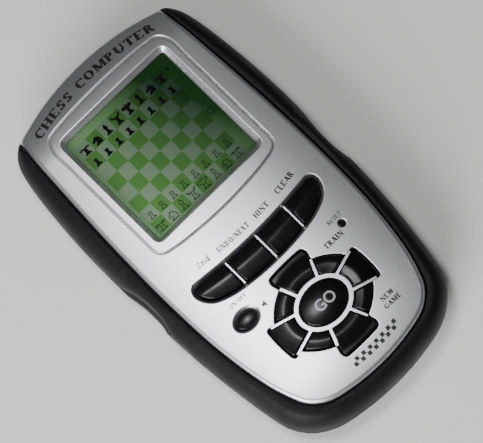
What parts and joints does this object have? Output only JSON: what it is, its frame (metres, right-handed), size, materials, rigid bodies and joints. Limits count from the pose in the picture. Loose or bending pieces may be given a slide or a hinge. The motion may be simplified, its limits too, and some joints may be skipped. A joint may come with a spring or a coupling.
{
  "type": "electronic chess computer",
  "caption": "Hand-held electronic chess computer: silver face with a square green display, a curved row of keys and a ring of keys round an oval key, in a black bumper and back.",
  "frame": {"origin": "middle of the back, on the plane that it rests on when it lies face up", "axes": "+X across the face to its right, +Y up the face to the display end, +Z out of the face"},
  "size_m": [0.09, 0.1593, 0.0266],
  "materials": {
    "silver_paint": "satin metallic silver paint on moulded plastic",
    "bumper_plastic": "black plastic with a fine spark-eroded texture",
    "back_plastic": "black plastic with a fine texture",
    "clear_window": "clear acrylic window",
    "display_glass": "green liquid crystal display",
    "display_reflector": "satin foil reflector",
    "display_holder": "plain moulded plastic",
    "zebra_rubber": "layered conductive rubber",
    "key_plastic": "black, smooth satin",
    "contact_rubber": "grey silicone rubber",
    "circuit_board": "green solder mask on fibreglass board",
    "black_resin": "potted resin",
    "capacitor_sleeve": "heat-shrunk sleeve",
    "buzzer_brass": "thin bright disc",
    "red_insulation": "wire insulation",
    "black_insulation": "wire insulation",
    "cell_jacket": "printed cell jacket",
    "nickel_plate": "nickel-plated spring steel",
    "bright_steel": "zinc-plated steel"
  },
  "bodies": {
    "case": {"battery_1": "cell_jacket", "battery_2": "cell_jacket", "battery_3": "cell_jacket", "battery_lead_black": "black_insulation", "battery_lead_red": "red_insulation", "battery_spring_1": "nickel_plate", "battery_spring_2": "nickel_plate", "battery_spring_3": "nickel_plate", "board_screw_1": "bright_steel", "board_screw_2": "bright_steel", "board_screw_3": "bright_steel", "board_screw_4": "bright_steel", "buzzer_lead_black": "black_insulation", "buzzer_lead_red": "red_insulation", "capacitor_1": "capacitor_sleeve", "capacitor_2": "capacitor_sleeve", "case_screw_1": "bright_steel", "case_screw_2": "bright_steel", "case_screw_3": "bright_steel", "case_screw_4": "bright_steel", "contact_link_lower": "nickel_plate", "contact_link_upper": "nickel_plate", "contact_negative": "nickel_plate", "contact_positive": "nickel_plate", "controller_blob": "black_resin", "crystal_can": "bright_steel", "front_shell": "silver_paint", "grip_band": "bumper_plastic", "keypad_mat": "contact_rubber", "lcd_frame": "display_holder", "lcd_panel": "display_glass", "lcd_reflector": "display_reflector", "lens_window": "clear_window", "main_board": "circuit_board", "piezo_buzzer": "buzzer_brass", "rear_shell": "back_plastic", "screen_bezel": "silver_paint", "zebra_strip_lower": "zebra_rubber", "zebra_strip_upper": "zebra_rubber"},
    "battery_door": {"battery_door": "back_plastic"},
    "key_clear_cap": {"key_clear": "key_plastic"},
    "key_down_cap": {"key_down": "key_plastic"},
    "key_go_cap": {"key_go": "key_plastic"},
    "key_hint_cap": {"key_hint": "key_plastic"},
    "key_left_cap": {"key_left": "key_plastic"},
    "key_lower_left_cap": {"key_lower_left": "key_plastic"},
    "key_new_game_cap": {"key_new_game": "key_plastic"},
    "key_on_off_cap": {"key_on_off": "key_plastic"},
    "key_reset_cap": {"key_reset": "key_plastic"},
    "key_right_cap": {"key_right": "key_plastic"},
    "key_second_cap": {"key_second": "key_plastic"},
    "key_sound_cap": {"key_sound": "key_plastic"},
    "key_train_cap": {"key_train": "key_plastic"},
    "key_undo_next_cap": {"key_undo_next": "key_plastic"},
    "key_up_cap": {"key_up": "key_plastic"}
  },
  "joints": [
    {"name": "key_clear_press", "type": "slide", "parent": "case", "child": "key_clear_cap", "axis": [0, 0, -1], "range_m": [0, 0.0011], "stiffness_N_per_m": 500, "springref_m": -0.0008},
    {"name": "key_down_press", "type": "slide", "parent": "case", "child": "key_down_cap", "axis": [0, 0, -1], "range_m": [0, 0.0011], "stiffness_N_per_m": 500, "springref_m": -0.0008},
    {"name": "key_go_press", "type": "slide", "parent": "case", "child": "key_go_cap", "axis": [0, 0, -1], "range_m": [0, 0.0011], "stiffness_N_per_m": 500, "springref_m": -0.0008},
    {"name": "key_hint_press", "type": "slide", "parent": "case", "child": "key_hint_cap", "axis": [0, 0, -1], "range_m": [0, 0.0011], "stiffness_N_per_m": 500, "springref_m": -0.0008},
    {"name": "key_left_press", "type": "slide", "parent": "case", "child": "key_left_cap", "axis": [0, 0, -1], "range_m": [0, 0.0011], "stiffness_N_per_m": 500, "springref_m": -0.0008},
    {"name": "key_lower_left_press", "type": "slide", "parent": "case", "child": "key_lower_left_cap", "axis": [0, 0, -1], "range_m": [0, 0.0011], "stiffness_N_per_m": 500, "springref_m": -0.0008},
    {"name": "key_new_game_press", "type": "slide", "parent": "case", "child": "key_new_game_cap", "axis": [0, 0, -1], "range_m": [0, 0.0011], "stiffness_N_per_m": 500, "springref_m": -0.0008},
    {"name": "key_on_off_press", "type": "slide", "parent": "case", "child": "key_on_off_cap", "axis": [0, 0, -1], "range_m": [0, 0.0011], "stiffness_N_per_m": 500, "springref_m": -0.0008},
    {"name": "key_reset_press", "type": "slide", "parent": "case", "child": "key_reset_cap", "axis": [0, 0, -1], "range_m": [0, 0.0011], "stiffness_N_per_m": 500, "springref_m": -0.0008},
    {"name": "key_right_press", "type": "slide", "parent": "case", "child": "key_right_cap", "axis": [0, 0, -1], "range_m": [0, 0.0011], "stiffness_N_per_m": 500, "springref_m": -0.0008},
    {"name": "key_second_press", "type": "slide", "parent": "case", "child": "key_second_cap", "axis": [0, 0, -1], "range_m": [0, 0.0011], "stiffness_N_per_m": 500, "springref_m": -0.0008},
    {"name": "key_sound_press", "type": "slide", "parent": "case", "child": "key_sound_cap", "axis": [0, 0, -1], "range_m": [0, 0.0011], "stiffness_N_per_m": 500, "springref_m": -0.0008},
    {"name": "key_train_press", "type": "slide", "parent": "case", "child": "key_train_cap", "axis": [0, 0, -1], "range_m": [0, 0.0011], "stiffness_N_per_m": 500, "springref_m": -0.0008},
    {"name": "key_undo_next_press", "type": "slide", "parent": "case", "child": "key_undo_next_cap", "axis": [0, 0, -1], "range_m": [0, 0.0011], "stiffness_N_per_m": 500, "springref_m": -0.0008},
    {"name": "key_up_press", "type": "slide", "parent": "case", "child": "key_up_cap", "axis": [0, 0, -1], "range_m": [0, 0.0011], "stiffness_N_per_m": 500, "springref_m": -0.0008},
    {"name": "battery_door_slide", "type": "slide", "parent": "case", "child": "battery_door", "axis": [0, -1, 0], "range_m": [0, 0.055]}
  ]
}
